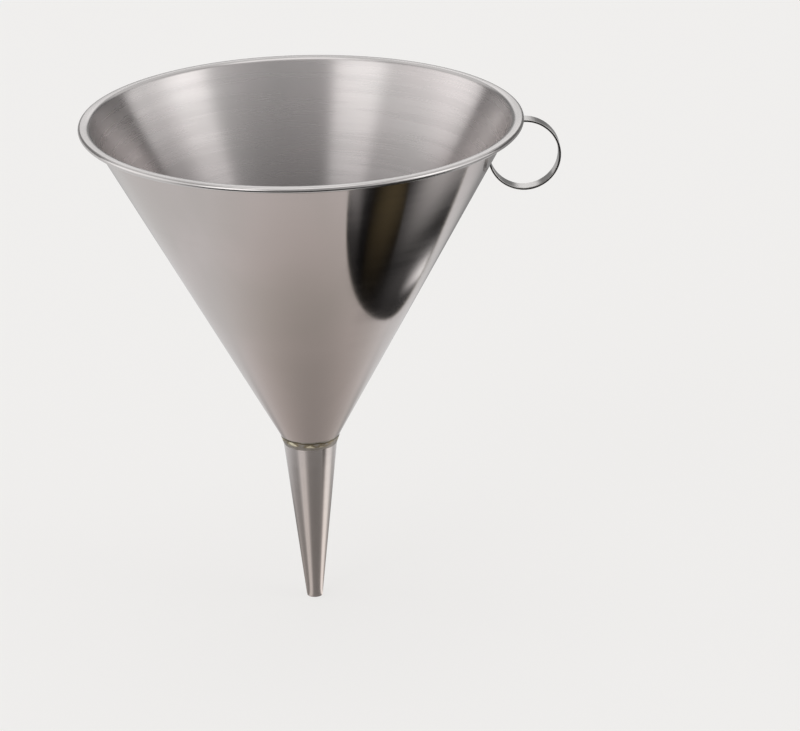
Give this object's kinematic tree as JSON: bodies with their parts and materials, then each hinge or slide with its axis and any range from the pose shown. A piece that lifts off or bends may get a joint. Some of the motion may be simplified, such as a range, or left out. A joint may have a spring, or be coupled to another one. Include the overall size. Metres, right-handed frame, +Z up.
{
  "type": "kitchen funnel",
  "caption": "Conical stainless steel funnel with a rolled rim, a long tapered spout brazed to its neck, and a strip ring for hanging it up.",
  "frame": {"origin": "middle of the outlet's cut end, on the funnel's axis", "axes": "+Z up along the funnel's axis from the outlet to the bowl's mouth, +X from the axis towards the hanging ring"},
  "size_m": [0.2165, 0.2, 0.2323],
  "materials": {
    "bowl_steel": "turned on a lathe with fine rings round the axis, satin",
    "spout_steel": "fine rings round its axis, brighter than the bowl",
    "strip_steel": "bright rolled strip",
    "weld_metal": "ground weld, a little duller than the sheet",
    "braze": "pale yellow brazing metal, uneven"
  },
  "bodies": {
    "root": {"bowl": "bowl_steel", "spout": "spout_steel", "spout_seam": "weld_metal", "neck_braze": "braze", "handle_ring": "strip_steel", "upper_spot_weld": "weld_metal", "lower_spot_weld": "weld_metal"}
  },
  "joints": []
}
